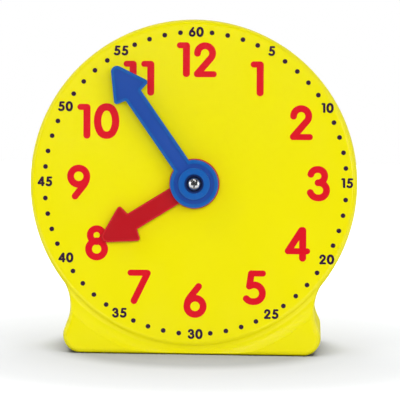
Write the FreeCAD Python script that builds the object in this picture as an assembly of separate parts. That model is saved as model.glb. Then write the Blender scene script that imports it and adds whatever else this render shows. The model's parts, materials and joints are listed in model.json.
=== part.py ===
import FreeCAD, Part
import math
import os

from FreeCAD import Placement, Rotation, Vector

# Geared teaching clock: turning the minute hand drives the hour hand through a hidden 12 to 1 train.
#
# Everything is modelled in the clock's own frame and then leaned back and stood on its foot.
# Clock frame: origin where the arbor's axis meets the dial, X right, Y into the case, Z up the dial.
# Row frame: X right, Y back, Z up, origin at the middle of the base of the clock's box.

# ---------------------------------------------------------------- driving dimensions, in mm

LEAN = 7.0                  # degrees that the dial leans back from upright

# case outline, seen square to the dial
DISC_RADIUS = 50.8          # a 4 inch dial disc
CASE_MIDDLE = -0.3          # the disc's middle sits this far left of the arbor's axis
NECK_RADIUS = 14.6          # hollow curve between disc and foot
NECK_HEIGHT = -38.9         # height of the narrowest place, from the arbor
FOOT_HALF_WIDTH = 40.1
FOOT_CORNER = 5.5
FOOT_DEPTH = 26.0           # along the table

# case sections
DISC_DEPTH = 14.0
WALL = 2.2
EDGE_ROUND = 1.6            # rounded front edge all round
BACK_ROUND = 0.7            # rounded back edge all round
FOOT_RECESS = 0.3           # the foot's face lies this far behind the dial's
COVER_THICKNESS = 2.2       # measured along Y
COVER_RIM = 1.2             # rim of the front case that shows round the cover
COVER_GAP = 0.12            # parting line between rim and cover
BEND_HEIGHT = -20.0         # where the cover bends back towards the heel
BEND_ROUND = 8.0
HEEL_HEIGHT = 5.0
HEEL_ROUND = 3.0

# valley that follows the disc's circle across the foot
VALLEY_RADIUS = 51.7
VALLEY_DEPTH = 0.9
VALLEY_INNER_CURVE = 3.0
VALLEY_INNER_TURN = -45.0   # degrees of curve from the valley's bottom to its inner edge
VALLEY_OUTER_CURVE = 12.0
VALLEY_OUTER_TURN = 22.0

# gear train: 15 drives 45, and its 12 drives 48, so the hour wheel makes a twelfth of a turn per turn
MODULE = 0.8
PRESSURE_ANGLE = 20.0
MINUTE_PINION_TEETH = 15
LARGE_WHEEL_TEETH = 45
SMALL_PINION_TEETH = 12
HOUR_WHEEL_TEETH = 48
MINUTE_MESH_SHIFT = 0.2     # addendum added to the pinion and taken from its wheel, in modules
HOUR_MESH_SHIFT = 0.3
TOOTH_DEDENDUM = 1.25       # depth of the root below the pitch circle, in modules
TOOTH_THINNING = 0.09       # taken from each tooth's thickness, for backlash
FLANK_SHARES = (0.0, 0.35, 0.7, 1.0)    # where each flank has its corners, from root to tip
TRAIN_CENTRES = MODULE * (MINUTE_PINION_TEETH + LARGE_WHEEL_TEETH) / 2
AXLE_PLACE = (0.0, -TRAIN_CENTRES)

# depths of the movement, along Y from the dial's face
BEARING_FRONT = -0.7
BEARING_BACK = 3.0
HOUR_WHEEL_FRONT = 3.1
HOUR_WHEEL_BACK = 4.9
AXLE_FRONT = 0.9
AXLE_BOSS_BACK = 2.7
SMALL_PINION_FRONT = 2.9
LARGE_WHEEL_FRONT = 5.5
LARGE_WHEEL_BACK = 7.1
INTERMEDIATE_BACK = 8.6
ARBOR_COLLAR_FRONT = 5.0
MINUTE_PINION_FRONT = 5.3
MINUTE_PINION_BACK = 7.3
FLANGE_BACK = 7.9
THRUST_WASHER_BACK = 8.2
SPRING_FRONT = 8.24
PLATE_FRONT = 8.8
PLATE_BACK = 10.4
ARBOR_BACK = 10.9

# arbor, pipe and axle
RUNNING_CLEARANCE = 0.05    # radial
ARBOR_RADIUS = 2.0
ARBOR_COLLAR_RADIUS = 3.0
PIPE_RADIUS = 3.4
PIPE_FRONT = -2.85
SEAT_RADIUS = 1.5           # flatted end of the arbor that carries the minute hand
SEAT_FLAT = 1.1             # distance of the flat from the axis
ARBOR_SHOULDER = -3.0
ARBOR_FRONT = -3.8
JOURNAL_RADIUS = 1.5
FLANGE_RADIUS = 5.2
AXLE_RADIUS = 1.0
AXLE_HUB_RADIUS = 3.0
BEARING_BOSS_RADIUS = 5.6
THRUST_WASHER_RADIUS = 4.6
SPRING_RADIUS = 4.4
SPRING_BORE = 1.9
SPRING_SHEET = 0.25

# hands: angles clockwise from the top of the dial
MINUTE_HAND_ANGLE = -35.3
HOUR_HAND_ANGLE = 237.9
HAND_HALF_WIDTH = 2.85
ARROW_LENGTH = 11.9         # sharp point to barbs
ARROW_HALF_WIDTH = 6.55     # at the sharp barbs
ARROW_NOTCH = 0.85          # how far the barbs stand forward of the shaft's shoulder
ARROW_POINT_ROUND = 1.85
ARROW_BARB_ROUND = 0.9
NOTCH_ROUND = 0.3
HAND_EDGE_ROUND = 0.3

MINUTE_POINT = 45.85        # sharp point, before rounding
MINUTE_HUB_RADIUS = 7.5
MINUTE_HAND_BACK = -3.0
MINUTE_HAND_FRONT = -4.7
MINUTE_BORDER = 0.95
MINUTE_CHANNEL_DEPTH = 0.55
HUB_RIM = 1.2
HUB_BOSS_RADIUS = 4.95
HUB_BOSS_FRONT = -5.2
COUNTERBORE_RADIUS = 3.0
COUNTERBORE_FLOOR = -3.85

HOUR_POINT = 35.25
HOUR_HUB_RADIUS = 7.8
HOUR_HAND_BACK = -0.9
HOUR_HAND_FRONT = -2.6
HOUR_BORDER = 0.6
HOUR_CHANNEL_DEPTH = 0.2

# screws, each as (head radius, head height, thread radius, length under the head)
HAND_SCREW = (1.95, 1.15, 0.8, 5.0)
PLATE_SCREW = (1.9, 1.0, 1.0, 6.0)
COVER_SCREW = (2.4, 1.5, 1.3, 9.0)
PILOT_SPARE = 1.0           # depth of a screw's hole past its point

# pan head, as shares of the head's height or radius
HEAD_RIM_HEIGHT = 0.45
HEAD_SHOULDER_RADIUS = 0.62
HEAD_SHOULDER_HEIGHT = 0.86
RECESS_WIDTH = 0.26
RECESS_LENGTH = 1.15
RECESS_DEPTH = 0.6
POINT_RADIUS = 0.3          # blunt end of the point, as a share of the thread's radius

# places, as (x, z) seen from the front
PLATE_POSTS = [(0.0, 25.0), (-26.0, -12.0), (26.0, -12.0)]
PLATE_CORNERS = [
    ((0.0, 33.0), 4.6),
    ((35.0, -15.0), 4.6),
    ((0.0, -33.0), 6.0),
    ((-35.0, -15.0), 4.6),
]
PLATE_POST_RADIUS = 3.2
DISC_SCREW_PLACES = [(-30.0, 30.0), (30.0, 30.0), (-38.5, -13.0), (38.5, -13.0)]
FOOT_SCREW_PLACES = [(-22.0, -41.0), (22.0, -41.0)]
DISC_SCREW_SEAT = 10.2      # depth of the joint between a boss and the cover's cup
FOOT_SCREW_SEAT = 16.0
BOSS_RADIUS = 3.3
CUP_RADIUS = 4.2
CUP_FLOOR = 1.6
POCKET_RADIUS = 3.0
RIB_PLACES = [-32.0, -11.0, 11.0, 32.0]
RIB_THICKNESS = 1.6
RIB_TOP = -44.5
RIB_BACK = 13.0

FAR = 120.0                 # longer than the clock
OVERRUN = 1.0               # how far a cutter runs past what it cuts
NEAR = 0.01                 # tolerance for picking edges
AXIS = Vector(0, 1, 0)
ORIGIN = Vector(0, 0, 0)

# ---------------------------------------------------------------- shape helpers


def cylinder(radius, front, back, place=(0.0, 0.0)):
    """Round bar along Y between two depths."""
    return Part.makeCylinder(radius, back - front, Vector(place[0], front, place[1]), AXIS)


def line(start, end):
    return Part.LineSegment(start, end).toShape()


def arc(start, middle, end):
    return Part.Arc(start, middle, end).toShape()


def wire(edges):
    return Part.Wire(Part.__sortEdges__(edges))


def revolved(edges):
    """Solid of revolution about the arbor's axis, from a closed outline in the plane of X and Y."""
    return Part.Face(wire(edges)).revolve(ORIGIN, AXIS, 360)


def rounded_wire(corners):
    """Closed wire through flat corners, each given as (point, radius)."""
    edges = []
    ends = []
    count = len(corners)
    for index, (corner, radius) in enumerate(corners):
        before = (corners[index - 1][0] - corner).normalize()
        after = (corners[(index + 1) % count][0] - corner).normalize()
        if radius == 0:
            ends.append((corner, corner))
            continue
        half_angle = before.getAngle(after) / 2
        setback = radius / math.tan(half_angle)
        start = corner + before * setback
        end = corner + after * setback
        inward = (before + after).normalize()
        middle = corner + inward * (radius / math.sin(half_angle) - radius)
        edges.append(arc(start, middle, end))
        ends.append((start, end))
    for index in range(count):
        start = ends[index][1]
        end = ends[(index + 1) % count][0]
        edges.append(line(start, end))
    return wire(edges)


def rounded_edges(shape, radius, wanted):
    """Round the edges that the test picks."""
    return shape.makeFillet(radius, [edge for edge in shape.Edges if wanted(edge)])


def middle_of(edge):
    return edge.valueAt((edge.FirstParameter + edge.LastParameter) / 2)


def round_edge_at(depth):
    """Test for the closed round edge at one depth."""
    return lambda edge: edge.Closed and abs(edge.CenterOfMass.y - depth) < NEAR


def screw(size, place, seat, head_forward):
    """Pan-head screw with a cross recess, its head's seat at the given depth."""
    head_radius, head_height, thread_radius, length = size
    top = Vector(0, -head_height, 0)
    rim_foot = Vector(head_radius, 0, 0)
    rim_top = Vector(head_radius, -HEAD_RIM_HEIGHT * head_height, 0)
    shoulder = Vector(HEAD_SHOULDER_RADIUS * head_radius, -HEAD_SHOULDER_HEIGHT * head_height, 0)
    head = revolved([
        line(ORIGIN, rim_foot),
        line(rim_foot, rim_top),
        arc(rim_top, shoulder, top),
        line(top, ORIGIN),
    ])
    point_length = thread_radius
    point_start = length - point_length
    shank = cylinder(thread_radius, 0, point_start)
    blunt = POINT_RADIUS * thread_radius
    point = Part.makeCone(thread_radius, blunt, point_length, Vector(0, point_start, 0), AXIS)
    shape = head.fuse([shank, point]).removeSplitter()
    slot_width = RECESS_WIDTH * head_radius
    slot_length = RECESS_LENGTH * head_radius
    slot_depth = RECESS_DEPTH * head_height
    for long_x, long_z in ((slot_length, slot_width), (slot_width, slot_length)):
        corner = Vector(-long_x / 2, -head_height - OVERRUN, -long_z / 2)
        shape = shape.cut(Part.makeBox(long_x, OVERRUN + slot_depth, long_z, corner))
    if not head_forward:
        shape.rotate(ORIGIN, Vector(0, 0, 1), 180)
    shape.translate(Vector(place[0], seat, place[1]))
    return shape


# ---------------------------------------------------------------- case shapes

TABLE_DIRECTION = Vector(0, math.cos(math.radians(LEAN)), math.sin(math.radians(LEAN)))
UP_DIRECTION = Vector(0, -math.sin(math.radians(LEAN)), math.cos(math.radians(LEAN)))


def foot_curve_centres():
    """Middles of the right-hand neck and foot curves, from the disc's middle: each curve meets the next."""
    reach = DISC_RADIUS + NECK_RADIUS
    neck = Vector(math.sqrt(reach ** 2 - NECK_HEIGHT ** 2), 0, NECK_HEIGHT)
    corner_x = FOOT_HALF_WIDTH - FOOT_CORNER
    drop = math.sqrt((NECK_RADIUS + FOOT_CORNER) ** 2 - (neck.x - corner_x) ** 2)
    return neck, Vector(corner_x, 0, NECK_HEIGHT - drop)


NECK_CENTRE, CORNER_CENTRE = foot_curve_centres()
FOOT_BOTTOM = CORNER_CENTRE.z - FOOT_CORNER


def foot_prism(inset):
    """The foot from the disc down, its walls moved inwards by inset, run back along the table."""
    neck_radius = NECK_RADIUS + inset
    corner_radius = FOOT_CORNER - inset
    top = NECK_CENTRE * ((DISC_RADIUS - inset) / NECK_CENTRE.Length)
    narrowest = NECK_CENTRE - Vector(neck_radius, 0, 0)
    below_neck = NECK_CENTRE + (CORNER_CENTRE - NECK_CENTRE).normalize() * neck_radius
    widest = CORNER_CENTRE + Vector(corner_radius, 0, 0)
    lowest = CORNER_CENTRE - Vector(0, 0, corner_radius)
    right_half = [top, narrowest, below_neck, widest, lowest]
    halves = []
    edges = []
    for side in (1, -1):
        half = [Vector(side * point.x + CASE_MIDDLE, 0, point.z) for point in right_half]
        edges.append(arc(*half[0:3]))
        edges.append(arc(*half[2:5]))
        halves.append(half)
    edges.append(line(halves[0][0], halves[1][0]))
    edges.append(line(halves[0][-1], halves[1][-1]))
    base = Part.Face(wire(edges))
    base.translate(TABLE_DIRECTION * -OVERRUN)
    return base.extrude(TABLE_DIRECTION * FAR)


def in_front_of(depth):
    return Part.makeBox(2 * FAR, FAR, 2 * FAR, Vector(-FAR, depth - FAR, -FAR))


def under_foot(inset):
    """Everything below the foot's underside, moved up by inset."""
    height = FAR / 4
    low = Vector(-FAR, 0, FOOT_BOTTOM + inset) - TABLE_DIRECTION * FAR - UP_DIRECTION * height
    section = Part.Face(Part.makePolygon([
        low,
        low + TABLE_DIRECTION * 2 * FAR,
        low + TABLE_DIRECTION * 2 * FAR + UP_DIRECTION * height,
        low + UP_DIRECTION * height,
        low,
    ]))
    return section.extrude(Vector(2 * FAR, 0, 0))


def disc_bar(inset, front):
    """Round bar of the disc, from a depth to far behind the clock."""
    return cylinder(DISC_RADIUS - inset, front, FAR / 2, (CASE_MIDDLE, 0.0))


def case_block(inset, front):
    """Disc and foot together, from a depth to far behind the clock, with plain edges."""
    disc = disc_bar(inset, front).cut(under_foot(inset))
    foot = foot_prism(inset).cut(in_front_of(front))
    return disc.fuse(foot)


def space_behind(shift):
    """Everything behind the case's back, with the back moved forward by shift."""
    heel = Vector(0, 0, FOOT_BOTTOM) + TABLE_DIRECTION * FOOT_DEPTH
    heel_top = heel + UP_DIRECTION * HEEL_HEIGHT
    below = heel - UP_DIRECTION * HEEL_HEIGHT
    corners = [
        (Vector(0, DISC_DEPTH, FAR), 0),
        (Vector(0, DISC_DEPTH, BEND_HEIGHT), BEND_ROUND),
        (heel_top, HEEL_ROUND),
        (below, 0),
        (Vector(0, FAR, below.z), 0),
        (Vector(0, FAR, FAR), 0),
    ]
    section = Part.Face(rounded_wire(corners))
    section.translate(Vector(-FAR, -shift, 0))
    return section.extrude(Vector(2 * FAR, 0, 0))


def valley_cutter():
    """Ring that hollows the foot's face along the disc's circle."""
    inner_centre = Vector(VALLEY_RADIUS, VALLEY_DEPTH - VALLEY_INNER_CURVE, 0)
    outer_centre = Vector(VALLEY_RADIUS, VALLEY_DEPTH - VALLEY_OUTER_CURVE, 0)
    bottom = Vector(VALLEY_RADIUS, VALLEY_DEPTH, 0)

    def on_curve(centre, radius, degrees):
        turn = math.radians(degrees)
        return centre + Vector(radius * math.sin(turn), radius * math.cos(turn), 0)

    inner = on_curve(inner_centre, VALLEY_INNER_CURVE, VALLEY_INNER_TURN)
    outer = on_curve(outer_centre, VALLEY_OUTER_CURVE, VALLEY_OUTER_TURN)
    above_inner = Vector(inner.x, -OVERRUN, 0)
    above_outer = Vector(outer.x, -OVERRUN, 0)
    ring = revolved([
        arc(inner, on_curve(inner_centre, VALLEY_INNER_CURVE, VALLEY_INNER_TURN / 2), bottom),
        arc(bottom, on_curve(outer_centre, VALLEY_OUTER_CURVE, VALLEY_OUTER_TURN / 2), outer),
        line(outer, above_outer),
        line(above_outer, above_inner),
        line(above_inner, inner),
    ])
    ring.translate(Vector(CASE_MIDDLE, 0, 0))
    return ring


def rounded_disc():
    disc = rounded_edges(disc_bar(0, 0), EDGE_ROUND, round_edge_at(0))
    return disc.cut(under_foot(0))


def rounded_foot():
    """The foot with its front edge rounded and the valley cut."""
    foot = foot_prism(0).cut(in_front_of(FOOT_RECESS))
    top = max(vertex.Z for vertex in foot.Vertexes if vertex.Y < FOOT_RECESS + NEAR)

    def on_front_edge(edge):
        middle = middle_of(edge)
        return abs(middle.y - FOOT_RECESS) < NEAR and middle.z < top - NEAR

    return rounded_edges(foot, EDGE_ROUND, on_front_edge).cut(valley_cutter())


def outer_case():
    """The whole outside of the closed clock case, as one solid block."""
    behind = space_behind(0)
    block = rounded_disc().fuse(rounded_foot()).cut(behind).removeSplitter()
    back_faces = Part.Compound(behind.Faces)

    def on_back_outline(edge):
        """True of the edges round the back, and false of the lines where the back bends."""
        first, last = edge.ParameterRange
        spots = [edge.valueAt(first + (last - first) * share) for share in (0.1, 0.5, 0.9)]
        on_back = all(back_faces.distToShape(Part.Vertex(spot))[0] < NEAR for spot in spots)
        bend_line = isinstance(edge.Curve, Part.Line) and spots[1].z > FOOT_BOTTOM + HEEL_HEIGHT
        return on_back and not bend_line

    return rounded_edges(block, BACK_ROUND, on_back_outline)


# ---------------------------------------------------------------- case pieces


def screw_sites():
    """Each rear cover screw as (place, depth of its seat)."""
    sites = [(place, DISC_SCREW_SEAT) for place in DISC_SCREW_PLACES]
    return sites + [(place, FOOT_SCREW_SEAT) for place in FOOT_SCREW_PLACES]


def front_case():
    shell = outer_case()
    shell = shell.cut(case_block(WALL, WALL))
    shell = shell.cut(case_block(COVER_RIM, WALL).common(space_behind(COVER_THICKNESS)))
    into_wall = WALL / 2
    added = [cylinder(BEARING_BOSS_RADIUS, BEARING_FRONT, BEARING_BACK)]
    added.append(cylinder(AXLE_HUB_RADIUS, into_wall, AXLE_BOSS_BACK, AXLE_PLACE))
    added += [cylinder(PLATE_POST_RADIUS, into_wall, PLATE_FRONT, place) for place in PLATE_POSTS]
    added += [cylinder(BOSS_RADIUS, into_wall, seat, place) for place, seat in screw_sites()]
    inside = case_block(COVER_RIM, into_wall)
    for x in RIB_PLACES:
        corner = Vector(x - RIB_THICKNESS / 2, into_wall, RIB_TOP - FAR)
        rib = Part.makeBox(RIB_THICKNESS, RIB_BACK - into_wall, FAR, corner)
        added.append(rib.common(inside))
    shell = shell.fuse(added)
    bearing_bore = PIPE_RADIUS + RUNNING_CLEARANCE
    holes = [cylinder(bearing_bore, BEARING_FRONT - OVERRUN, BEARING_BACK + OVERRUN)]
    holes.append(cylinder(AXLE_RADIUS, AXLE_FRONT, AXLE_BOSS_BACK + OVERRUN, AXLE_PLACE))
    for place in PLATE_POSTS:
        bottom = PLATE_BACK - PLATE_SCREW[3] - PILOT_SPARE
        holes.append(cylinder(PLATE_SCREW[2], bottom, PLATE_FRONT + OVERRUN, place))
    for place, seat in screw_sites():
        bottom = seat + CUP_FLOOR - COVER_SCREW[3] - PILOT_SPARE
        holes.append(cylinder(COVER_SCREW[2], bottom, seat + OVERRUN, place))
    return shell.cut(holes).removeSplitter()


def rear_cover():
    """Back shell: a plate that follows the back, with a cup round each screw head."""
    plate = case_block(COVER_RIM + COVER_GAP, WALL).common(space_behind(COVER_THICKNESS))
    cavity = case_block(WALL + COVER_GAP, WALL)
    cups = [cylinder(CUP_RADIUS, seat, FAR, place).common(cavity) for place, seat in screw_sites()]
    cover = plate.fuse(cups).cut(space_behind(0))
    for place, seat in screw_sites():
        floor = seat + CUP_FLOOR
        pocket = cylinder(POCKET_RADIUS, floor, FAR, place)
        hole = cylinder(COVER_SCREW[2], seat - OVERRUN, floor + OVERRUN, place)
        cover = cover.cut([pocket, hole])
    return cover.removeSplitter()


def cover_screws():
    screws = [screw(COVER_SCREW, place, seat + CUP_FLOOR, False) for place, seat in screw_sites()]
    return Part.makeCompound(screws)


# ---------------------------------------------------------------- gears


def involute(angle):
    return math.tan(angle) - angle


def gear(teeth, shift, first_tooth, front, back, place=(0.0, 0.0)):
    """Involute gear; first_tooth is the direction of one tooth's middle, in degrees from +X towards +Z."""
    pressure = math.radians(PRESSURE_ANGLE)
    pitch_radius = MODULE * teeth / 2
    base_radius = pitch_radius * math.cos(pressure)
    tip_radius = pitch_radius + MODULE * (1 + shift)
    root_radius = pitch_radius - MODULE * (TOOTH_DEDENDUM - shift)
    thickness = MODULE * (math.pi / 2 + 2 * shift * math.tan(pressure)) - TOOTH_THINNING
    half_at_base = thickness / 2 / pitch_radius + involute(pressure)
    flank_start = max(base_radius, root_radius)
    radii = [root_radius] if root_radius < base_radius else []
    radii += [flank_start + (tip_radius - flank_start) * share for share in FLANK_SHARES]
    flank = []
    for radius in radii:
        roll = math.acos(base_radius / max(radius, base_radius))
        flank.append((radius, half_at_base - involute(roll)))
    points = []
    for tooth in range(teeth):
        middle = math.radians(first_tooth) + 2 * math.pi * tooth / teeth
        rising = [(radius, middle - half) for radius, half in flank]
        falling = [(radius, middle + half) for radius, half in reversed(flank)]
        for radius, angle in rising + falling:
            x = place[0] + radius * math.cos(angle)
            z = place[1] + radius * math.sin(angle)
            points.append(Vector(x, front, z))
    section = Part.Face(Part.makePolygon(points + points[:1]))
    return section.extrude(Vector(0, back - front, 0))


def flatted_bar(front, back):
    """The arbor's end, round with one flat, that keys the minute hand."""
    bar = cylinder(SEAT_RADIUS, front, back)
    corner = Vector(SEAT_FLAT, front, -SEAT_RADIUS)
    return bar.cut(Part.makeBox(SEAT_RADIUS, back - front, 2 * SEAT_RADIUS, corner))


def minute_arbor():
    """Arbor with the minute pinion, the friction flange and a flatted seat for the hand."""
    seat = flatted_bar(ARBOR_FRONT, ARBOR_SHOULDER)
    seat.rotate(ORIGIN, AXIS, MINUTE_HAND_ANGLE)
    pieces = [
        cylinder(ARBOR_RADIUS, ARBOR_SHOULDER, MINUTE_PINION_FRONT),
        cylinder(ARBOR_COLLAR_RADIUS, ARBOR_COLLAR_FRONT, MINUTE_PINION_FRONT),
        gear(MINUTE_PINION_TEETH, MINUTE_MESH_SHIFT, -90, MINUTE_PINION_FRONT, MINUTE_PINION_BACK),
        cylinder(FLANGE_RADIUS, MINUTE_PINION_BACK, FLANGE_BACK),
        cylinder(JOURNAL_RADIUS, FLANGE_BACK, ARBOR_BACK),
    ]
    hole_bottom = COUNTERBORE_FLOOR + HAND_SCREW[3] + PILOT_SPARE
    thread = cylinder(HAND_SCREW[2], ARBOR_FRONT - OVERRUN, hole_bottom)
    return seat.fuse(pieces).cut(thread).removeSplitter()


def hour_wheel():
    """Wheel with the long pipe that carries the hour hand."""
    first_tooth = -90 + 180 / HOUR_WHEEL_TEETH
    wheel = gear(HOUR_WHEEL_TEETH, -HOUR_MESH_SHIFT, first_tooth, HOUR_WHEEL_FRONT, HOUR_WHEEL_BACK)
    pipe = cylinder(PIPE_RADIUS, PIPE_FRONT, HOUR_WHEEL_BACK)
    bore_radius = ARBOR_RADIUS + RUNNING_CLEARANCE
    bore = cylinder(bore_radius, PIPE_FRONT - OVERRUN, HOUR_WHEEL_BACK + OVERRUN)
    return wheel.fuse(pipe).cut(bore).removeSplitter()


def intermediate_wheel():
    """Large wheel and small pinion in one moulding."""
    front, middle, back = SMALL_PINION_FRONT, LARGE_WHEEL_FRONT, LARGE_WHEEL_BACK
    first_tooth = 90 + 180 / LARGE_WHEEL_TEETH
    wheel = gear(LARGE_WHEEL_TEETH, -MINUTE_MESH_SHIFT, first_tooth, middle, back, AXLE_PLACE)
    pinion = gear(SMALL_PINION_TEETH, HOUR_MESH_SHIFT, 90, front, middle, AXLE_PLACE)
    hub = cylinder(AXLE_HUB_RADIUS, back, INTERMEDIATE_BACK, AXLE_PLACE)
    bore_radius = AXLE_RADIUS + RUNNING_CLEARANCE
    bore = cylinder(bore_radius, front - OVERRUN, INTERMEDIATE_BACK + OVERRUN, AXLE_PLACE)
    return wheel.fuse([pinion, hub]).cut(bore).removeSplitter()


# ---------------------------------------------------------------- movement's fixed pieces


def intermediate_axle():
    return cylinder(AXLE_RADIUS, AXLE_FRONT, PLATE_BACK, AXLE_PLACE)


def gear_plate():
    corners = [(Vector(x, PLATE_FRONT, z), radius) for (x, z), radius in PLATE_CORNERS]
    plate = Part.Face(rounded_wire(corners)).extrude(Vector(0, PLATE_BACK - PLATE_FRONT, 0))
    sites = [((0.0, 0.0), JOURNAL_RADIUS + RUNNING_CLEARANCE), (AXLE_PLACE, AXLE_RADIUS)]
    sites += [(place, PLATE_SCREW[2]) for place in PLATE_POSTS]
    for place, radius in sites:
        plate = plate.cut(cylinder(radius, PLATE_FRONT - OVERRUN, PLATE_BACK + OVERRUN, place))
    return plate


def plate_screws():
    return Part.makeCompound([screw(PLATE_SCREW, place, PLATE_BACK, False) for place in PLATE_POSTS])


def thrust_washer():
    bore = cylinder(JOURNAL_RADIUS, FLANGE_BACK, THRUST_WASHER_BACK)
    return cylinder(THRUST_WASHER_RADIUS, FLANGE_BACK, THRUST_WASHER_BACK).cut(bore)


def friction_spring():
    """Cupped ring that rests on the gear plate with its rim and presses on the washer with its bore."""
    rim_back = Vector(SPRING_RADIUS, PLATE_FRONT, 0)
    rim_front = Vector(SPRING_RADIUS, PLATE_FRONT - SPRING_SHEET, 0)
    bore_front = Vector(SPRING_BORE, SPRING_FRONT, 0)
    bore_back = Vector(SPRING_BORE, SPRING_FRONT + SPRING_SHEET, 0)
    return revolved([
        line(rim_back, rim_front),
        line(rim_front, bore_front),
        line(bore_front, bore_back),
        line(bore_back, rim_back),
    ])


# ---------------------------------------------------------------- hands


def arrow_outline(sharp_point):
    """Shaft and arrowhead, pointing up the dial, as a flat face at depth 0."""
    shoulder = sharp_point - ARROW_LENGTH - ARROW_NOTCH
    barb = sharp_point - ARROW_LENGTH
    right = [
        (Vector(HAND_HALF_WIDTH, 0, 0), 0),
        (Vector(HAND_HALF_WIDTH, 0, shoulder), NOTCH_ROUND),
        (Vector(ARROW_HALF_WIDTH, 0, barb), ARROW_BARB_ROUND),
    ]
    left = [(Vector(-corner.x, 0, corner.z), radius) for corner, radius in reversed(right)]
    return Part.Face(rounded_wire(right + [(Vector(0, 0, sharp_point), ARROW_POINT_ROUND)] + left))


def hand_blank(sharp_point, hub_radius, border, hub_border, channel_depth, front, back):
    """Arrow and hub with a raised border round a sunk channel, pointing up the dial."""
    arrow = arrow_outline(sharp_point)
    arrow.translate(Vector(0, front, 0))
    thickness = Vector(0, back - front, 0)
    blank = arrow.extrude(thickness).fuse(cylinder(hub_radius, front, back)).removeSplitter()

    def on_front_edge(edge):
        return abs(middle_of(edge).y - front) < NEAR

    blank = rounded_edges(blank, HAND_EDGE_ROUND, on_front_edge)
    inner_arrow = arrow.makeOffset2D(-border)
    inner_arrow.translate(Vector(0, -OVERRUN, 0))
    channel = inner_arrow.extrude(Vector(0, OVERRUN + channel_depth, 0))
    hub_channel = cylinder(hub_radius - hub_border, front - OVERRUN, front + channel_depth)
    return blank.cut(channel.fuse(hub_channel))


def minute_hand():
    hand = hand_blank(
        MINUTE_POINT, MINUTE_HUB_RADIUS, MINUTE_BORDER, HUB_RIM,
        MINUTE_CHANNEL_DEPTH, MINUTE_HAND_FRONT, MINUTE_HAND_BACK,
    )
    boss = cylinder(HUB_BOSS_RADIUS, HUB_BOSS_FRONT, MINUTE_HAND_BACK)
    boss = rounded_edges(boss, HAND_EDGE_ROUND, round_edge_at(HUB_BOSS_FRONT))
    counterbore = cylinder(COUNTERBORE_RADIUS, HUB_BOSS_FRONT - OVERRUN, COUNTERBORE_FLOOR)
    seat = flatted_bar(COUNTERBORE_FLOOR - OVERRUN, MINUTE_HAND_BACK + OVERRUN)
    hand = hand.fuse(boss).cut([counterbore, seat]).removeSplitter()
    hand.rotate(ORIGIN, AXIS, MINUTE_HAND_ANGLE)
    return hand


def hour_hand():
    hand = hand_blank(
        HOUR_POINT, HOUR_HUB_RADIUS, HOUR_BORDER, HOUR_BORDER,
        HOUR_CHANNEL_DEPTH, HOUR_HAND_FRONT, HOUR_HAND_BACK,
    )
    hand = hand.cut(cylinder(PIPE_RADIUS, HOUR_HAND_FRONT - OVERRUN, HOUR_HAND_BACK + OVERRUN))
    hand.rotate(ORIGIN, AXIS, HOUR_HAND_ANGLE)
    return hand


def hand_screw():
    return screw(HAND_SCREW, (0.0, 0.0), COUNTERBORE_FLOOR, True)


# ---------------------------------------------------------------- the whole clock


def main():
    pieces = {
        "front_case": front_case(),
        "rear_cover": rear_cover(),
        "cover_screws": cover_screws(),
        "gear_plate": gear_plate(),
        "plate_screws": plate_screws(),
        "intermediate_axle": intermediate_axle(),
        "friction_spring": friction_spring(),
        "minute_arbor": minute_arbor(),
        "thrust_washer": thrust_washer(),
        "minute_hand": minute_hand(),
        "hand_screw": hand_screw(),
        "hour_wheel": hour_wheel(),
        "hour_hand": hour_hand(),
        "intermediate_wheel": intermediate_wheel(),
    }
    leaned = Placement(ORIGIN, Rotation(Vector(1, 0, 0), -LEAN))
    box = FreeCAD.BoundBox()
    for shape in pieces.values():
        shape.Placement = leaned.multiply(shape.Placement)
        box.add(shape.optimalBoundingBox(False, False))
    to_origin = Vector(-box.Center.x, -box.Center.y, -box.ZMin)
    os.makedirs("parts", exist_ok=True)
    for name, shape in pieces.items():
        shape.translate(to_origin)
        shape.exportStep(f"parts/{name}.step")
        print(f"{name:20s} solids {len(shape.Solids)} valid {shape.isValid()} {shape.Volume:9.2f} mm3")
    print("box", [round(length, 3) for length in (box.XLength, box.YLength, box.ZLength)])
    print("arbor axis at", to_origin, "along", leaned.Rotation.multVec(AXIS))
    axle = leaned.multVec(Vector(AXLE_PLACE[0], 0, AXLE_PLACE[1])) + to_origin
    print("axle at", axle)
    foot_front = leaned.multVec(Vector(0, 0, FOOT_BOTTOM)) + to_origin
    print("foot's lower front edge at", foot_front)


main()
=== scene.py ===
import json
import math

import bmesh
import bpy
from mathutils import Matrix, Vector


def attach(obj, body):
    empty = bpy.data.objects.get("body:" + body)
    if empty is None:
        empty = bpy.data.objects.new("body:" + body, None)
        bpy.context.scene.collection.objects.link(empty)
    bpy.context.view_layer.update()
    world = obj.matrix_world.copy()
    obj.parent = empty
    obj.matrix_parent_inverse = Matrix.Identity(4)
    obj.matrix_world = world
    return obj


# Geared teaching clock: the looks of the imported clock, its printed dial, and the studio.
#
# The dial's plane is the flat sheet on which the print is drawn, in mm: x to the reader's right,
# y up the dial, with its origin on the arbor's axis.

MM = 0.001

# ---------------------------------------------------------------- the frame

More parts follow.
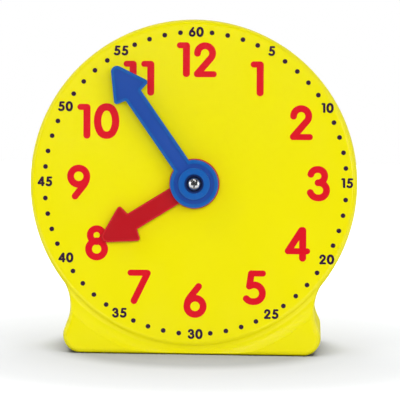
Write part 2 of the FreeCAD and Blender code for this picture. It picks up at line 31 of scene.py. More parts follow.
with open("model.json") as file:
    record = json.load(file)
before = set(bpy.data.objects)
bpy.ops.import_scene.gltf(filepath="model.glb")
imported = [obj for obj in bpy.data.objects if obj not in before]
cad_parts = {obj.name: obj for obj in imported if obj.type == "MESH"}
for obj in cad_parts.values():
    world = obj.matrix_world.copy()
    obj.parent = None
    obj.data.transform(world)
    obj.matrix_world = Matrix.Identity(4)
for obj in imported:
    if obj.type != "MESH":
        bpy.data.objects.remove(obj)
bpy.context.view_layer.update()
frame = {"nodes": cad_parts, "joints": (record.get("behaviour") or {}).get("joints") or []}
nodes = frame["nodes"]
minute_turn = next(joint for joint in frame["joints"] if joint["name"] == "minute_turn")
INTO_CASE = Vector(minute_turn["axis"]).normalized()
ARBOR = Vector(minute_turn["pos_m"])
RIGHT = Vector((1, 0, 0))
UP_DIAL = RIGHT.cross(INTO_CASE)

# ---------------------------------------------------------------- print on the dial, in mm

PRINT_SHIFT = (0.26, 0.09)      # the print's middle from the arbor's axis
PRINT_TURN = 0.43               # degrees, anticlockwise
INK_TOP = 0.03                  # the film's surface in front of the dial
INK_BACK = -0.02                # its back, just under the dial's surface

HOUR_DIGIT_HEIGHT = 10.8
MINUTE_DIGIT_HEIGHT = 2.95      # with the large digits' pen
MINUTE_BOLDNESS = 1.26          # the small digits' wider pen, beside that
MINUTE_DIGIT_PITCH = 2.42
NARROW_DIGIT_PITCH = 2.05       # beside a 1
DOT_RING_RADIUS = 46.84
DOT_RADIUS = 0.74
ARC_STEP = math.radians(9)      # the most that one straight piece of a bend turns
NIB_SIDES = 28                  # of a dot, and of a stroke's round end
WELD = 1e-5                     # points nearer than this are one
LEVEL = math.radians(1)         # faces this level with each other are one

# Pen widths of the digits' strokes, in mm.
STEM = 2.2
BOWL = 2.3
CURVE = 2.12
SLANT = 2.08
BAR = 1.9

OVAL_END = 0.48                 # corners of an oval's frame, as shares of its half width
OVAL_SIDE = 0.414               # and of its half height


def ring(x, y, radius):
    """Corners of a closed round path."""
    low, high = y - radius, y + radius
    left, right = x - radius, x + radius
    corners = [
        (right, low, radius), (right, high, radius), (left, high, radius), (left, low, radius),
    ]
    return [(x, low, 0), *corners, (x, low, 0)]


def oval(across, tall, end_bend, side_bend):
    """Corners of a closed upright oval, from its half width and half height."""
    near, low = across * OVAL_END, tall * OVAL_SIDE
    right = [
        (near, -tall, end_bend), (across, -low, side_bend),
        (across, low, side_bend), (near, tall, end_bend),
    ]
    left = [(-x, -y, bend) for x, y, bend in right]
    return [(0, -tall, 0), *right, *left, (0, -tall, 0)]


# Each digit is a list of pen strokes, each a pen width and its (x, y, rounding radius) corners,
# measured from the middle of a digit of the hour numerals' height.
SIX = [
    (CURVE, ring(0, -1.83, 2.53)),
    (SLANT, [(1.09, 4.36, 0), (-2.53, -0.24, 4.4), (-2.53, -1.83, 0)]),
]
DIGITS = {
    "0": [(BOWL, oval(2.8, 4.38, 2.28, 6.0))],
    "1": [
        (BAR, [(-1.08, 4.45, 0), (0.95, 4.45, 0)]),
        (STEM, [(0.95, 4.3, 0), (0.95, -4.3, 0)]),
    ],
    "2": [
        (CURVE, [
            (-2.46, 2.0, 0), (-2.46, 4.35, 2.34), (2.22, 4.35, 2.34),
            (2.22, 1.14, 2.34), (-2.5, -4.36, 0),
        ]),
        (BAR, [(-2.6, -4.45, 0), (2.6, -4.45, 0)]),
    ],
    "3": [
        (CURVE, [
            (-2.38, 2.9, 0), (-2.0, 4.4, 2.0), (1.9, 4.4, 2.04),
            (1.9, 0.3, 2.04), (-0.15, 0.3, 0),
        ]),
        (CURVE, [
            (-0.15, 0.3, 0), (2.5, 0.3, 2.35), (2.5, -4.4, 2.35),
            (-1.72, -4.4, 2.6), (-2.54, -2.75, 0),
        ]),
    ],
    "4": [
        (BAR, [(3.0, -2.18, 0), (-2.94, -2.18, 0)]),
        (SLANT, [(-2.88, -2.12, 0), (1.25, 4.3, 0)]),
        (STEM, [(1.61, 4.25, 0), (1.61, -4.3, 0)]),
    ],
    "5": [
        (BAR, [(2.56, 4.42, 0), (-0.95, 4.42, 0)]),
        (SLANT, [(-1.02, 4.36, 0), (-1.6, 0.45, 0)]),
        (CURVE, [
            (-1.6, 0.45, 0), (-0.7, 0.86, 1.5), (2.45, 0.86, 2.58),
            (2.45, -4.34, 2.58), (-1.55, -4.34, 2.4), (-2.55, -3.42, 0),
        ]),
    ],
    "6": SIX,
    "7": [
        (BAR, [(-2.75, 4.42, 0), (2.35, 4.42, 0)]),
        (SLANT, [(2.48, 4.3, 0), (-1.68, -4.3, 0)]),
    ],
    "8": [
        (SLANT, ring(0, 2.4, 2.02)),
        (CURVE, ring(0, -1.9, 2.5)),
    ],
    "9": [(width, [(-x, -y, radius) for x, y, radius in corners]) for width, corners in SIX],
}

# The middle of each digit.
HOUR_NUMERALS = {
    "1": [(18.93, 32.44)],
    "2": [(32.76, 18.97)],
    "3": [(38.15, 0.1)],
    "4": [(31.76, -18.7)],
    "5": [(18.55, -32.3)],
    "6": [(0.1, -36.4)],
    "7": [(-17.22, -32.35)],
    "8": [(-30.57, -18.73)],
    "9": [(-36.25, 0.1)],
    "10": [(-34.71, 19.0), (-27.65, 19.1)],
    "11": [(-20.44, 32.44), (-14.97, 32.44)],
    "12": [(-3.94, 38.25), (2.88, 38.25)],
}

# The middle of each number.
MINUTE_NUMERALS = {
    "5": (23.42, 41.08),
    "10": (40.52, 23.57),
    "15": (46.82, 0.33),
    "20": (40.82, -23.36),
    "25": (23.79, -40.46),
    "30": (0.16, -46.85),
    "35": (-23.40, -40.41),
    "40": (-40.14, -23.33),
    "45": (-46.71, 0.28),
    "50": (-40.48, 23.63),
    "55": (-23.26, 40.99),
    "60": (-0.04, 46.87),
}


def print_matrix():
    """From the flat sheet in mm to the dial in the row frame."""
    axes = Matrix((RIGHT, UP_DIAL, -INTO_CASE)).transposed().to_4x4()
    onto_dial = Matrix.Translation(ARBOR) @ axes @ Matrix.Scale(MM, 4)
    turned = Matrix.Rotation(math.radians(PRINT_TURN), 4, "Z")
    return onto_dial @ Matrix.Translation((*PRINT_SHIFT, 0)) @ turned


def add_spot(sheet, middle, radius):
    """A filled circle, flat on the sheet."""
    bmesh.ops.create_circle(
        sheet, cap_ends=True, segments=NIB_SIDES, radius=radius,
        matrix=Matrix.Translation(middle),
    )


def draw_on(sheet, nib, way):
    """Draw the nib, an edge, straight on and return it at its new place."""
    if way.length < WELD:
        return nib
    drawn = bmesh.ops.extrude_edge_only(sheet, edges=[nib])["geom"]
    ends = [part for part in drawn if isinstance(part, bmesh.types.BMVert)]
    bmesh.ops.translate(sheet, verts=ends, vec=way)
    return sheet.edges.get(ends)


def turn_round(sheet, nib, centre, angle):
    """Draw the nib round a bend and return it at its new place."""
    steps = max(1, round(abs(angle) / ARC_STEP))
    drawn = bmesh.ops.spin(
        sheet, geom=[nib, *nib.verts], cent=centre, axis=(0, 0, 1), angle=angle, steps=steps,
    )["geom_last"]
    return next(part for part in drawn if isinstance(part, bmesh.types.BMEdge))


def set_nib(sheet, place, heading, width):
    """A new nib, an edge across the way that the pen heads."""
    across = Vector((-heading.y, heading.x, 0)) * width / 2
    return sheet.edges.new([sheet.verts.new(place - across), sheet.verts.new(place + across)])


def draw_stroke(sheet, width, corners):
    """A pen line with round ends and joints through the corners, flat on the sheet."""
    places = [Vector((x, y, 0)) for x, y, radius in corners]
    here = places[0]
    heading = (places[1] - here).normalized()
    nib = set_nib(sheet, here, heading, width)
    add_spot(sheet, here, width / 2)
    for index in range(1, len(places) - 1):
        corner = places[index]
        radius = corners[index][2]
        onward = (places[index + 1] - corner).normalized()
        angle = math.atan2(heading.cross(onward).z, heading.dot(onward))
        setback = radius * math.tan(abs(angle) / 2)
        bend = corner - heading * setback
        nib = draw_on(sheet, nib, bend - here)
        if radius:
            to_left = Vector((-heading.y, heading.x, 0))
            nib = turn_round(sheet, nib, bend + to_left * math.copysign(radius, angle), angle)
        else:
            add_spot(sheet, corner, width / 2)
            nib = set_nib(sheet, corner, onward, width)
        here = corner + onward * setback
        heading = onward
    draw_on(sheet, nib, places[-1] - here)
    add_spot(sheet, places[-1], width / 2)


def thicken(sheet):
    """Give each flat shape on the sheet an ink film's thickness."""
    sheet.normal_update()
    face_down = [face for face in sheet.faces if face.normal.z < 0]
    bmesh.ops.reverse_faces(sheet, faces=face_down)
    bmesh.ops.translate(sheet, verts=sheet.verts, vec=(0, 0, INK_BACK))
    raised = bmesh.ops.extrude_face_region(sheet, geom=list(sheet.faces))["geom"]
    tops = [part for part in raised if isinstance(part, bmesh.types.BMVert)]
    bmesh.ops.translate(sheet, verts=tops, vec=(0, 0, INK_TOP - INK_BACK))
    bmesh.ops.recalc_face_normals(sheet, faces=sheet.faces)


def digit_film(digit, boldness):
    """A digit's strokes as one film without overlaps, flat on the sheet."""
    sheet = bmesh.new()
    for width, corners in DIGITS[digit]:
        draw_stroke(sheet, width * boldness, corners)
    thicken(sheet)
    strokes_mesh = bpy.data.meshes.new("strokes")
    sheet.to_mesh(strokes_mesh)
    sheet.free()
    strokes = bpy.data.objects.new("strokes", strokes_mesh)
    bpy.context.scene.collection.objects.link(strokes)
    unite = strokes.modifiers.new("unite", "BOOLEAN")
    unite.operation = "UNION"
    unite.solver = "EXACT"
    unite.use_self = True
    unite.operand_type = "COLLECTION"
    unite.collection = bpy.data.collections.new("nothing_else")
    finished = strokes.evaluated_get(bpy.context.evaluated_depsgraph_get())
    film = bpy.data.meshes.new_from_object(finished)
    bpy.data.collections.remove(unite.collection)
    bpy.data.objects.remove(strokes)
    bpy.data.meshes.remove(strokes_mesh)
    return film


def lay_on_dial(name, sheet, material):
    """Make the films on the sheet a piece on the dial."""
    bmesh.ops.remove_doubles(sheet, verts=sheet.verts, dist=WELD)
    bmesh.ops.dissolve_limit(sheet, angle_limit=LEVEL, verts=sheet.verts, edges=sheet.edges)
    sheet.transform(print_matrix())
    mesh = bpy.data.meshes.new(name)
    sheet.to_mesh(mesh)
    sheet.free()
    mesh.materials.append(material)
    piece = bpy.data.objects.new(name, mesh)
    bpy.context.scene.collection.objects.link(piece)
    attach(piece, "case")


def numeral(name, digits, places, height, films, material):
    """One printed number from its digits and the middle of each."""
    sheet = bmesh.new()
    size = height / HOUR_DIGIT_HEIGHT
    for digit, (x, y) in zip(digits, places):
        before = len(sheet.verts)
        sheet.from_mesh(films[digit])
        sheet.verts.ensure_lookup_table()
        place = Matrix.Translation((x, y, 0)) @ Matrix.Diagonal((size, size, 1, 1))
        bmesh.ops.transform(sheet, matrix=place, verts=sheet.verts[before:])
    lay_on_dial(name, sheet, material)


def hour_numerals(films, material):
    for text, places in HOUR_NUMERALS.items():
        name = "hour_numeral_" + text
        numeral(name, text, places, HOUR_DIGIT_HEIGHT, films, material)


def minute_numerals(films, material):
    for text, (x, y) in MINUTE_NUMERALS.items():
        pitch = NARROW_DIGIT_PITCH if text[0] == "1" else MINUTE_DIGIT_PITCH
        first = x - pitch * (len(text) - 1) / 2
        places = [(first + pitch * index, y) for index in range(len(text))]
        name = "minute_numeral_" + text
        numeral(name, text, places, MINUTE_DIGIT_HEIGHT, films, material)


def minute_dots(material):
    """A dot for each minute that has no numeral."""
    sheet = bmesh.new()
    for minute in range(60):
        if minute % 5:
            turn = math.radians(6 * minute)
            middle = Vector((math.sin(turn), math.cos(turn), 0)) * DOT_RING_RADIUS
            add_spot(sheet, middle, DOT_RADIUS)
    thicken(sheet)
    lay_on_dial("minute_dots", sheet, material)


# ---------------------------------------------------------------- materials


def linear(hex_colour):
    """A hex sRGB colour as linear red, green, blue and alpha."""
    channels = []
    for start in (0, 2, 4):
        value = int(hex_colour[start:start + 2], 16) / 255
        channels.append(value / 12.92 if value <= 0.04045 else ((value + 0.055) / 1.055) ** 2.4)
    return (*channels, 1)


def per_size(millimetres):
    """Pattern scale whose features are about this long."""
    return 1 / (millimetres * MM)


def new_tree(holder):
    """The holder's node tree, emptied."""
    holder.use_nodes = True
    holder.node_tree.nodes.clear()
    return holder.node_tree


def add_node(tree, kind, inputs=None, **settings):
    """Add a node with its settings, and give each input a value or the socket that feeds it."""
    node = tree.nodes.new(kind)
    for name, value in settings.items():
        setattr(node, name, value)
    for name, value in (inputs or {}).items():
        if isinstance(value, bpy.types.NodeSocket):
            tree.links.new(value, node.inputs[name])
        else:
            node.inputs[name].default_value = value
    return node


# Places of a Mix node's sockets: the factor, then those of a colour Mix and of a number Mix.
MIX_FACTOR = 0
MIX_FIRST, MIX_SECOND, MIX_RESULT = 6, 7, 2
NUMBER_FIRST, NUMBER_SECOND, NUMBER_RESULT = 2, 3, 0

# Between these two lies nearly all that a Noise Texture gives.
NOISE_RANGE = {"From Min": 0.3, "From Max": 0.7}

# Indexes of refraction.
ABS_IOR = 1.53
INK_IOR = 1.5
ACETAL_IOR = 1.48
NYLON_IOR = 1.53


def depth_share(tree, place, start, end):
    """From 0 to 1 between two depths in mm, measured into the case from the dial."""
    depth = add_node(tree, "ShaderNodeVectorMath", {
        0: place, 1: INTO_CASE,
    }, operation="DOT_PRODUCT")
    dial = ARBOR.dot(INTO_CASE)
    return add_node(tree, "ShaderNodeMapRange", {
        "Value": depth.outputs["Value"],
        "From Min": dial + start * MM, "From Max": dial + end * MM,
    }).outputs["Result"]


def painted_border_highlight(tree, place, plain, colour, channel, border):
    """Painted highlight: the raised borders are painted paler than the channel they surround,
    standing in for light that enters a thin raised edge and comes out of it again."""
    return add_node(tree, "ShaderNodeMix", {
        MIX_FACTOR: depth_share(tree, place, channel, border),
        MIX_FIRST: plain, MIX_SECOND: linear(colour),
    }, data_type="RGBA").outputs[MIX_RESULT]


def painted_bore_shade(tree, place, plain, colour, inner, outer, top, floor):
    """Painted shade of a narrow hole round the arbor's axis: full beside the screw and down at the
    hole's floor, and gone at the hole's wall and mouth."""
    centred = add_node(tree, "ShaderNodeVectorMath", {0: place, 1: ARBOR}, operation="SUBTRACT")
    across = add_node(tree, "ShaderNodeVectorMath", {
        0: centred.outputs["Vector"], 1: INTO_CASE,
    }, operation="CROSS_PRODUCT")
    away = add_node(tree, "ShaderNodeVectorMath", {0: across.outputs["Vector"]}, operation="LENGTH")
    inside = add_node(tree, "ShaderNodeMapRange", {
        "Value": away.outputs["Value"], "From Min": outer * MM, "From Max": inner * MM,
    })
    share = add_node(tree, "ShaderNodeMath", {
        0: inside.outputs["Result"], 1: depth_share(tree, place, top, floor),
    }, operation="MULTIPLY")
    return add_node(tree, "ShaderNodeMix", {
        MIX_FACTOR: share.outputs["Value"], MIX_FIRST: plain, MIX_SECOND: linear(colour),
    }, data_type="RGBA").outputs[MIX_RESULT]


DRAWN_SIDE = (0.15, 0.5)        # how square on to the tool's pull, from dullest to fully polished
GLOSS_DRIFT = 0.03              # how far the roughness drifts either way


def drawn_sides(tree, normal, rough, drag):
    """The drag of the tool: sides that slid out of it are duller than faces that left square."""
    facing = add_node(tree, "ShaderNodeVectorMath", {
        0: normal, 1: INTO_CASE,
    }, operation="DOT_PRODUCT")
    square_on = add_node(tree, "ShaderNodeMath", {0: facing.outputs["Value"]}, operation="ABSOLUTE")
    dulled = add_node(tree, "ShaderNodeMapRange", {
        "Value": square_on.outputs["Value"],
        "From Min": DRAWN_SIDE[0], "From Max": DRAWN_SIDE[1], "To Min": drag, "To Max": 0.0,
    })
    return add_node(tree, "ShaderNodeMath", {
        0: rough, 1: dulled.outputs["Result"],
    }, operation="ADD").outputs["Value"]


def glossy_abs(name, colour, shade, gloss, drag=None, border=None, bore_shade=None):
    """Injection-moulded ABS from a polished tool: strong even colour that drifts a little with
    the flow of the melt, soft highlights, and the faint waviness of a cooled moulding."""
    material = bpy.data.materials.new(name)
    tree = new_tree(material)
    coordinates = add_node(tree, "ShaderNodeTexCoord").outputs
    place = coordinates["Object"]
    flow = add_node(tree, "ShaderNodeTexNoise", {
        "Vector": place, "Scale": per_size(24), "Detail": 1.0,
    })
    wave = add_node(tree, "ShaderNodeTexNoise", {
        "Vector": place, "Scale": per_size(7), "Detail": 2.0,
    })
    skin = add_node(tree, "ShaderNodeTexNoise", {
        "Vector": place, "Scale": per_size(1.5), "Detail": 2.0,
    })
    tint = add_node(tree, "ShaderNodeMix", {
        MIX_FACTOR: flow.outputs["Fac"], MIX_FIRST: linear(colour), MIX_SECOND: linear(shade),
    }, data_type="RGBA").outputs[MIX_RESULT]
    # painted highlight: paler colour on the raised borders
    if border:
        tint = painted_border_highlight(tree, place, tint, **border)
    # painted shade: near-black colour in the counterbore round the screw
    if bore_shade:
        tint = painted_bore_shade(tree, place, tint, **bore_shade)
    rough = add_node(tree, "ShaderNodeMapRange", {
        "Value": wave.outputs["Fac"], **NOISE_RANGE,
        "To Min": gloss - GLOSS_DRIFT, "To Max": gloss + GLOSS_DRIFT,
    }).outputs["Result"]
    if drag:
        rough = drawn_sides(tree, coordinates["Normal"], rough, drag)
    relief = add_node(tree, "ShaderNodeBump", {
        "Height": skin.outputs["Fac"], "Distance": 0.003 * MM,
    })
    shader = add_node(tree, "ShaderNodeBsdfPrincipled", {
        "Base Color": tint,
        "Roughness": rough,
        "Normal": relief.outputs["Normal"],
        "IOR": ABS_IOR,
    })
    add_node(tree, "ShaderNodeOutputMaterial", {"Surface": shader.outputs["BSDF"]})
    return material


def pad_print_ink(name, colour, shade):
    """Pad-printed ink: a thin even film, a little less glossy than the moulding, whose lay
    shows as a fine mottle."""
    material = bpy.data.materials.new(name)
    tree = new_tree(material)
    place = add_node(tree, "ShaderNodeTexCoord").outputs["Object"]
    lay = add_node(tree, "ShaderNodeTexNoise", {
        "Vector": place, "Scale": per_size(0.9), "Detail": 3.0,
    })
    tint = add_node(tree, "ShaderNodeMix", {
        MIX_FACTOR: lay.outputs["Fac"], MIX_FIRST: linear(colour), MIX_SECOND: linear(shade),
    }, data_type="RGBA")
    polish = add_node(tree, "ShaderNodeMapRange", {
        "Value": lay.outputs["Fac"], **NOISE_RANGE, "To Min": 0.2, "To Max": 0.26,
    })
    shader = add_node(tree, "ShaderNodeBsdfPrincipled", {
        "Base Color": tint.outputs[MIX_RESULT],
        "Roughness": polish.outputs["Result"],
        "IOR": INK_IOR,
    })
    add_node(tree, "ShaderNodeOutputMaterial", {"Surface": shader.outputs["BSDF"]})
    return material


def natural_acetal():
    """Moulded natural acetal: waxy off-white that lets a little light into its thin teeth."""
    material = bpy.data.materials.new("natural_acetal")
    tree = new_tree(material)
    place = add_node(tree, "ShaderNodeTexCoord").outputs["Object"]
    cloud = add_node(tree, "ShaderNodeTexNoise", {
        "Vector": place, "Scale": per_size(5), "Detail": 2.0,
    })
    tint = add_node(tree, "ShaderNodeMix", {
        MIX_FACTOR: cloud.outputs["Fac"], MIX_FIRST: linear("E9E5D9"), MIX_SECOND: linear("DDD8C9"),
    }, data_type="RGBA")
    polish = add_node(tree, "ShaderNodeMapRange", {
        "Value": cloud.outputs["Fac"], **NOISE_RANGE, "To Min": 0.34, "To Max": 0.46,
    })
    shader = add_node(tree, "ShaderNodeBsdfPrincipled", {
        "Base Color": tint.outputs[MIX_RESULT],
        "Roughness": polish.outputs["Result"],
        "Subsurface Weight": 0.2,
        "Subsurface Scale": 0.8 * MM,
        "IOR": ACETAL_IOR,
    })
    add_node(tree, "ShaderNodeOutputMaterial", {"Surface": shader.outputs["BSDF"]})
    return material


def glass_filled_nylon():
    """Moulded glass-filled nylon: dull dark grey, with the pale flecks of short fibres. The
    fibres are drawn about ten times too coarse, or they would not show."""
    material = bpy.data.materials.new("glass_filled_nylon")
    tree = new_tree(material)
    place = add_node(tree, "ShaderNodeTexCoord").outputs["Object"]
    along = add_node(tree, "ShaderNodeMapping", {"Vector": place, "Scale": (0.3, 1.0, 1.0)})
    fibres = add_node(tree, "ShaderNodeTexNoise", {
        "Vector": along.outputs["Vector"], "Scale": per_size(0.4), "Detail": 3.0,
    })
    tint = add_node(tree, "ShaderNodeMix", {
        MIX_FACTOR: fibres.outputs["Fac"],
        MIX_FIRST: linear("2C2E30"), MIX_SECOND: linear("54575A"),
    }, data_type="RGBA")
    polish = add_node(tree, "ShaderNodeMapRange", {
        "Value": fibres.outputs["Fac"], **NOISE_RANGE, "To Min": 0.5, "To Max": 0.68,
    })
    relief = add_node(tree, "ShaderNodeBump", {
        "Height": fibres.outputs["Fac"], "Distance": 0.01 * MM,
    })
    shader = add_node(tree, "ShaderNodeBsdfPrincipled", {
        "Base Color": tint.outputs[MIX_RESULT],
        "Roughness": polish.outputs["Result"],
        "Normal": relief.outputs["Normal"],
        "IOR": NYLON_IOR,
    })
    add_node(tree, "ShaderNodeOutputMaterial", {"Surface": shader.outputs["BSDF"]})
    return material


STEEL_DRIFT = 0.06              # how far a steel's roughness drifts either way


def finished_steel(name, colour, shade, rough, grain, height):
    """Small steel piece with a thin bright finish, whose grain breaks its reflections up. The
    grain's length and height are in mm."""
    material = bpy.data.materials.new(name)
    tree = new_tree(material)
    place = add_node(tree, "ShaderNodeTexCoord").outputs["Object"]
    marks = add_node(tree, "ShaderNodeTexNoise", {
        "Vector": place, "Scale": per_size(grain), "Detail": 3.0,
    })
    tint = add_node(tree, "ShaderNodeMix", {
        MIX_FACTOR: marks.outputs["Fac"], MIX_FIRST: linear(colour), MIX_SECOND: linear(shade),
    }, data_type="RGBA")
    polish = add_node(tree, "ShaderNodeMapRange", {
        "Value": marks.outputs["Fac"], **NOISE_RANGE,
        "To Min": rough - STEEL_DRIFT, "To Max": rough + STEEL_DRIFT,
    })
    relief = add_node(tree, "ShaderNodeBump", {
        "Height": marks.outputs["Fac"], "Distance": height * MM,
    })
    shader = add_node(tree, "ShaderNodeBsdfPrincipled", {
        "Base Color": tint.outputs[MIX_RESULT],
        "Metallic": 1.0,
        "Roughness": polish.outputs["Result"],
        "Normal": relief.outputs["Normal"],
    })
    add_node(tree, "ShaderNodeOutputMaterial", {"Surface": shader.outputs["BSDF"]})
    return material


def finish_nodes():
    """Give every carried-over node its material."""
    case_abs = glossy_abs("moulded_abs_yellow", "F4E900", "F2E700", gloss=0.18, drag=0.6)
    blue_abs = glossy_abs(
        "moulded_abs_blue", "234FA7", "1F4BA2", gloss=0.2,
        # border: painted highlight, paler blue on the hand's raised border
        border={"colour": "155DAE", "channel": -4.2, "border": -4.6},
        # bore: painted shade, near black, in the counterbore round the screw
        bore_shade={"colour": "0A142C", "inner": 2.2, "outer": 3.4, "top": -4.6, "floor": -3.95},
    )
    red_abs = glossy_abs(
        "moulded_abs_red", "BE0F1D", "B80C1A", gloss=0.22,
        # border: painted highlight, paler red on the hand's raised border
        border={"colour": "CC1824", "channel": -2.42, "border": -2.58},
    )
    acetal = natural_acetal()
    zinc_plated = finished_steel(
        "zinc_plated_steel", "E2E3E3", "BFC2C4", rough=0.16, grain=0.45, height=0.03,
    )
    ground = finished_steel("ground_steel", "BFC1C3", "ADAFB1", rough=0.2, grain=0.2, height=0.004)
    pressed = finished_steel(
        "pressed_steel", "B6B7B8", "A3A4A6", rough=0.3, grain=0.5, height=0.004,
    )
    blued = finished_steel(
        "blued_spring_steel", "6B6C70", "575A63", rough=0.3, grain=0.6, height=0.004,
    )
    finishes = {
        "front_case": case_abs,
        "rear_cover": case_abs,
        "cover_screws": zinc_plated,
        "plate_screws": zinc_plated,
        "hand_screw": zinc_plated,
        "gear_plate": glass_filled_nylon(),
        "intermediate_axle": ground,
        "thrust_washer": pressed,
        "friction_spring": blued,
        "minute_arbor": acetal,
        "hour_wheel": acetal,
        "intermediate_wheel": acetal,
        "minute_hand": blue_abs,
        "hour_hand": red_abs,
    }
    for node, material in finishes.items():
        nodes[node].data.materials[0] = material


# ---------------------------------------------------------------- studio

VIEW_ASIDE = 1.8                # degrees to the right of the dial's straight-on view
VIEW_ABOVE = 1.8                # degrees above it
VIEW_ROLL = 0.76                # degrees, the camera's own lean
VIEW_DISTANCE = 1.0             # metres from the dial's middle
VIEW_MIDDLE = (1.69, -5.11)     # mm right of and above the dial's middle, as the camera sees it
SENSOR = 36.0                   # the camera's sensor and lens, in mm
LENS = 290.27

CLOCK_MIDDLE = Vector((0, 0, 0.05))
BOX_DISTANCE = 1.1              # metres from the clock's middle
TOP_DISTANCE = 1.0

# Each box's direction from the clock, then its width in metres and its power in watts.
UNMIRRORED_BOXES = {
    "front_right": ((0.15, -0.949, 0.3), 0.3, 2.75),
    "front_left": ((-0.16, -0.945, 0.3), 0.3, 2.45),
    "key": ((0.55, -0.78, 0.5), 0.6, 2.7),
    "high_left": ((-0.55, -0.15, 0.9), 0.8, 3.6),
    "behind_right": ((0.66, 0.7, 0.3), 0.8, 4.8),
    "behind_left": ((-0.66, 0.7, 0.3), 0.8, 4.6),
}
MIRRORED_BOXES = {
    "right": ((0.8, -0.62, 0.3), 0.6, 0.75),
    "left": ((-0.85, -0.5, 0.35), 0.6, 0.9),
    "edge": ((0.28, -0.95, 0.14), 0.12, 0.25),
}
TOP_BOX = ((0.0, 0.12, 1.0), 1.4, 56)
GLINT_BOXES = {
    "glint_above": ((0.0, -0.72, 0.7), 0.45, 1.6),
    "glint_right": ((0.72, -0.68, 0.12), 0.45, 1.6),
    "glint_left": ((-0.72, -0.68, 0.12), 0.45, 1.6),
}


def camera():
    """Long lens, close to square on to the dial."""
    aside, above = math.radians(VIEW_ASIDE), math.radians(VIEW_ABOVE)
    level = RIGHT * math.sin(aside) - INTO_CASE * math.cos(aside)
    place = ARBOR + (level * math.cos(above) + UP_DIAL * math.sin(above)) * VIEW_DISTANCE
    back = (place - ARBOR).normalized()
    right = UP_DIAL.cross(back).normalized()
    leaned = Matrix.Rotation(math.radians(VIEW_ROLL), 3, back)
    right, up = leaned @ right, leaned @ back.cross(right)
    aim = ARBOR + (right * VIEW_MIDDLE[0] + up * VIEW_MIDDLE[1]) * MM
    back = (place - aim).normalized()
    right = up.cross(back).normalized()
    axes = Matrix((right, back.cross(right), back)).transposed()
    lens = bpy.data.cameras.new("camera")
    lens.sensor_fit = "HORIZONTAL"
    lens.sensor_width = SENSOR
    lens.lens = LENS
    stand = bpy.data.objects.new("camera", lens)
    bpy.context.scene.collection.objects.link(stand)
    stand.matrix_world = Matrix.Translation(place) @ axes.to_4x4()
    bpy.context.scene.camera = stand


def soft_box(name, distance, towards, size, power, receivers):
    """Square area lamp that looks at the clock from a direction and lights the receivers."""
    direction = Vector(towards).normalized()
    lamp = bpy.data.lights.new(name, "AREA")
    lamp.shape = "SQUARE"
    lamp.size = size
    lamp.energy = power
    stand = bpy.data.objects.new(name, lamp)
    bpy.context.scene.collection.objects.link(stand)
    turned = direction.to_track_quat("Z", "Y").to_matrix().to_4x4()
    stand.matrix_world = Matrix.Translation(CLOCK_MIDDLE + direction * distance) @ turned
    stand.light_linking.receiver_collection = receivers
    return stand


def light_group(name, piece, state):
    """A group of what a lamp lights, by whether it takes the piece in or leaves it out."""
    group = bpy.data.collections.new(name)
    group.objects.link(piece)
    group.collection_objects[0].light_linking.link_state = state
    return group


def lamps():
    """Boxes round the camera that leave few shadows, a key box up on the right that lays the
    hands' shadows to their left, a high box that lights the rim, and two behind for the back.
    The weak side boxes and the small edge box are mirrored: they draw the highlights on the
    rounded edges, and the dial's gloss stays clear. The top box gives the floor its soft shadow,
    and the glint boxes are what the screw's bright head mirrors."""
    floor = bpy.data.objects["floor"]
    all_but_floor = light_group("all_but_floor", floor, "EXCLUDE")
    floor_only = light_group("floor_only", floor, "INCLUDE")
    screw_only = light_group("screw_only", nodes["hand_screw"], "INCLUDE")
    for name, box in UNMIRRORED_BOXES.items():
        soft_box(name, BOX_DISTANCE, *box, all_but_floor).visible_glossy = False
    for name, box in MIRRORED_BOXES.items():
        soft_box(name, BOX_DISTANCE, *box, all_but_floor)
    soft_box("top", TOP_DISTANCE, *TOP_BOX, floor_only)
    for name, box in GLINT_BOXES.items():
        soft_box(name, BOX_DISTANCE, *box, screw_only)


def background_rays(tree):
    """1 for the rays that should meet a white background: seen, mirrored or let through."""
    path = add_node(tree, "ShaderNodeLightPath")
    mirrored = add_node(tree, "ShaderNodeMath", {
        0: path.outputs["Is Camera Ray"], 1: path.outputs["Is Glossy Ray"],
    }, operation="MAXIMUM")
    return add_node(tree, "ShaderNodeMath", {
        0: mirrored.outputs["Value"], 1: path.outputs["Is Transmission Ray"],
    }, operation="MAXIMUM").outputs["Value"]


FLOOR_RADIUS = 0.4
FLOOR_SIDES = 64
FLOOR_SHADE = "878889"
FLOOR_MIRRORED = "3C3D3D"       # as the clock's gloss mirrors it, which keeps the edges yellow
PAINTED_SHADOW_REACH = (0.04, 0.03, 1)   # metres: half the width and depth of the oval middle kept without glow, a painted shadow round the clock
NEAR_GLOW = 0.2                 # what the sheet adds once out of there
NEAR_RANGE = (0.9, 1.25)        # in reaches from the clock
FAR_GLOW = 0.8                  # and what it adds further out, up to plain white
FAR_RANGE = (1.9, 4.0)


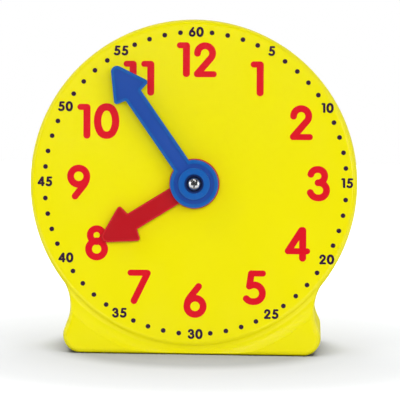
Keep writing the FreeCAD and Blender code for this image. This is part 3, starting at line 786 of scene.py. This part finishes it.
def studio_floor():
    """Pale sheet under the clock: it takes the top box's shadow. A glow kept out of an oval middle
    round the clock leaves a painted shadow there and turns the sheet to plain white further out.
    """
    sheet = bmesh.new()
    bmesh.ops.create_circle(sheet, cap_ends=True, segments=FLOOR_SIDES, radius=FLOOR_RADIUS)
    mesh = bpy.data.meshes.new("floor")
    sheet.to_mesh(mesh)
    sheet.free()
    material = bpy.data.materials.new("white_studio_sheet")
    tree = new_tree(material)
    place = add_node(tree, "ShaderNodeTexCoord").outputs["Object"]
    reaches = add_node(tree, "ShaderNodeVectorMath", {
        0: place, 1: PAINTED_SHADOW_REACH,
    }, operation="DIVIDE").outputs["Vector"]
    away = add_node(tree, "ShaderNodeVectorMath", {0: reaches}, operation="LENGTH").outputs["Value"]
    # the glow starts only outside the oval, so the oval's middle stays darker: a painted shadow
    near = add_node(tree, "ShaderNodeMapRange", {
        "Value": away,
        "From Min": NEAR_RANGE[0], "From Max": NEAR_RANGE[1], "To Max": NEAR_GLOW,
    }, interpolation_type="SMOOTHSTEP")
    far = add_node(tree, "ShaderNodeMapRange", {
        "Value": away,
        "From Min": FAR_RANGE[0], "From Max": FAR_RANGE[1], "To Max": FAR_GLOW,
    }, interpolation_type="SMOOTHSTEP")
    both = add_node(tree, "ShaderNodeMath", {
        0: near.outputs["Result"], 1: far.outputs["Result"],
    }, operation="ADD")
    lift = add_node(tree, "ShaderNodeMath", {
        0: both.outputs["Value"], 1: background_rays(tree),
    }, operation="MULTIPLY")
    shade = add_node(tree, "ShaderNodeMix", {
        MIX_FACTOR: add_node(tree, "ShaderNodeLightPath").outputs["Is Glossy Ray"],
        MIX_FIRST: linear(FLOOR_SHADE), MIX_SECOND: linear(FLOOR_MIRRORED),
    }, data_type="RGBA")
    paper = add_node(tree, "ShaderNodeBsdfDiffuse", {"Color": shade.outputs[MIX_RESULT]})
    glow = add_node(tree, "ShaderNodeEmission", {"Strength": lift.outputs["Value"]})
    surface = add_node(tree, "ShaderNodeAddShader", {
        0: paper.outputs["BSDF"], 1: glow.outputs["Emission"],
    })
    add_node(tree, "ShaderNodeOutputMaterial", {"Surface": surface.outputs["Shader"]})
    mesh.materials.append(material)
    floor = bpy.data.objects.new("floor", mesh)
    bpy.context.scene.collection.objects.link(floor)


ROOM_LIGHT = 0.08               # what the surround gives as light
ROOM_FRONT = 0.05               # how bright the room in front of the clock mirrors
ROOM_TURN = (-0.5, 0.2)         # where that turns white, from the front, -1, to the back, 1


def studio_world():
    """White to look at. Mirrored, it is white behind and beside the clock and dim in front."""
    world = bpy.data.worlds.new("studio")
    bpy.context.scene.world = world
    tree = new_tree(world)
    towards = add_node(tree, "ShaderNodeTexCoord").outputs["Generated"]
    depth = add_node(tree, "ShaderNodeSeparateXYZ", {"Vector": towards}).outputs["Y"]
    mirrored = add_node(tree, "ShaderNodeMapRange", {
        "Value": depth, "From Min": ROOM_TURN[0], "From Max": ROOM_TURN[1],
        "To Min": ROOM_FRONT, "To Max": 1.0,
    }).outputs["Result"]
    path = add_node(tree, "ShaderNodeLightPath").outputs
    either = add_node(tree, "ShaderNodeMath", {
        0: path["Is Glossy Ray"], 1: path["Is Transmission Ray"],
    }, operation="MAXIMUM").outputs["Value"]
    lighting = add_node(tree, "ShaderNodeMix", {
        MIX_FACTOR: either, NUMBER_FIRST: ROOM_LIGHT, NUMBER_SECOND: mirrored,
    }).outputs[NUMBER_RESULT]
    strength = add_node(tree, "ShaderNodeMix", {
        MIX_FACTOR: path["Is Camera Ray"], NUMBER_FIRST: lighting, NUMBER_SECOND: 1.0,
    }).outputs[NUMBER_RESULT]
    surround = add_node(tree, "ShaderNodeBackground", {
        "Color": (1, 1, 1, 1), "Strength": strength,
    })
    add_node(tree, "ShaderNodeOutputWorld", {"Surface": surround.outputs["Background"]})


# ---------------------------------------------------------------- making


def main():
    bpy.context.scene.view_settings.view_transform = "Standard"
    camera()
    studio_floor()
    lamps()
    studio_world()
    finish_nodes()
    films = {digit: digit_film(digit, 1) for digit in DIGITS}
    bold_films = {digit: digit_film(digit, MINUTE_BOLDNESS) for digit in "0123456"}
    red_ink = pad_print_ink("pad_print_red", "DF0621", "DB041D")
    dark_ink = pad_print_ink("pad_print_plum", "321639", "2D1234")
    hour_numerals(films, red_ink)
    minute_numerals(bold_films, dark_ink)
    minute_dots(dark_ink)
    for film in (*films.values(), *bold_films.values()):
        bpy.data.meshes.remove(film)


main()
